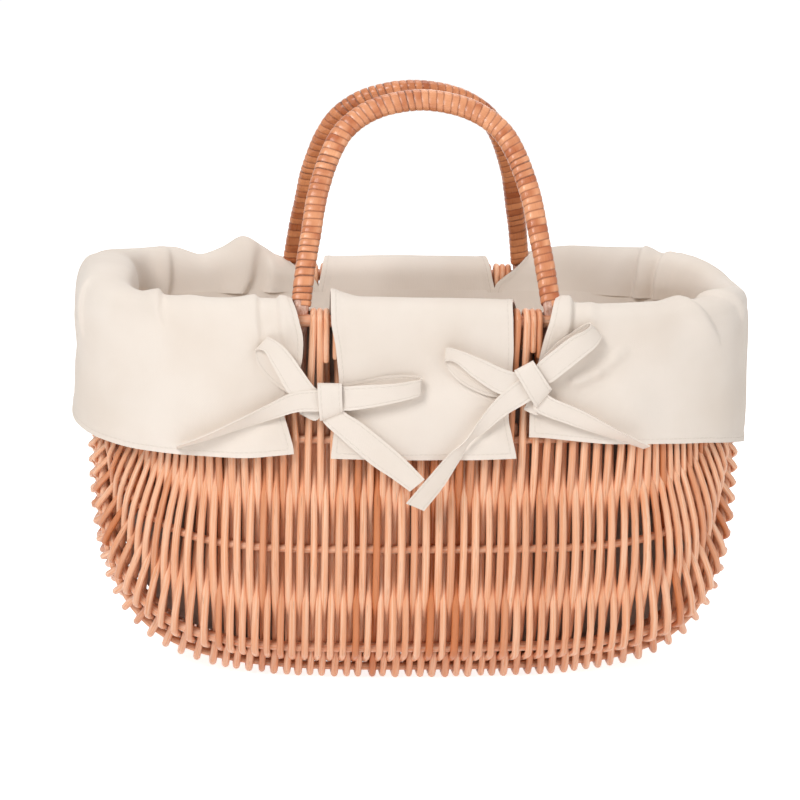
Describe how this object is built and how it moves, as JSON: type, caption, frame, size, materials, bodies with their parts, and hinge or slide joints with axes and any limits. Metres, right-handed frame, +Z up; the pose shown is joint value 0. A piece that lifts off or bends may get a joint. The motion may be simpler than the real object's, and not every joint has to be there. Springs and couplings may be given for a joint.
{
  "type": "wicker basket bag",
  "caption": "Oblong willow frame basket with two arched bound handles and a cotton liner whose flaps fold out over the rim and are tied with bows.",
  "frame": {"origin": "middle of the patch of floor under the basket", "axes": "+X along the basket's length, -Y its front, +Z up towards the handles"},
  "size_m": [0.4508, 0.2428, 0.3831],
  "materials": {
    "willow": "satin",
    "skein": "satin",
    "cotton": "matte"
  },
  "bodies": {
    "root": {"front_upper_rib": "willow", "front_middle_rib": "willow", "front_lower_rib": "willow", "front_base_rib": "willow", "keel_rib": "willow", "back_upper_rib": "willow", "back_middle_rib": "willow", "back_lower_rib": "willow", "back_base_rib": "willow", "rim_hoop": "willow", "weaver_rod_01": "willow", "weaver_rod_02": "willow", "weaver_rod_03": "willow", "weaver_rod_04": "willow", "weaver_rod_05": "willow", "weaver_rod_06": "willow", "weaver_rod_07": "willow", "weaver_rod_08": "willow", "weaver_rod_09": "willow", "weaver_rod_10": "willow", "weaver_rod_11": "willow", "weaver_rod_12": "willow", "weaver_rod_13": "willow", "weaver_rod_14": "willow", "weaver_rod_15": "willow", "weaver_rod_16": "willow", "weaver_rod_17": "willow", "weaver_rod_18": "willow", "weaver_rod_19": "willow", "weaver_rod_20": "willow", "weaver_rod_21": "willow", "weaver_rod_22": "willow", "weaver_rod_23": "willow", "weaver_rod_24": "willow", "weaver_rod_25": "willow", "weaver_rod_26": "willow", "weaver_rod_27": "willow", "weaver_rod_28": "willow", "weaver_rod_29": "willow", "weaver_rod_30": "willow", "weaver_rod_31": "willow", "weaver_rod_32": "willow", "weaver_rod_33": "willow", "weaver_rod_34": "willow", "front_handle_core": "willow", "front_handle_binding": "skein", "back_handle_core": "willow", "back_handle_binding": "skein", "liner_left_end": "cotton", "liner_middle": "cotton", "liner_right_end": "cotton", "front_flap": "cotton", "back_flap": "cotton", "left_flap": "cotton", "right_flap": "cotton", "front_left_bow": "cotton", "front_right_bow": "cotton", "back_left_bow": "cotton", "back_right_bow": "cotton"}
  },
  "joints": []
}
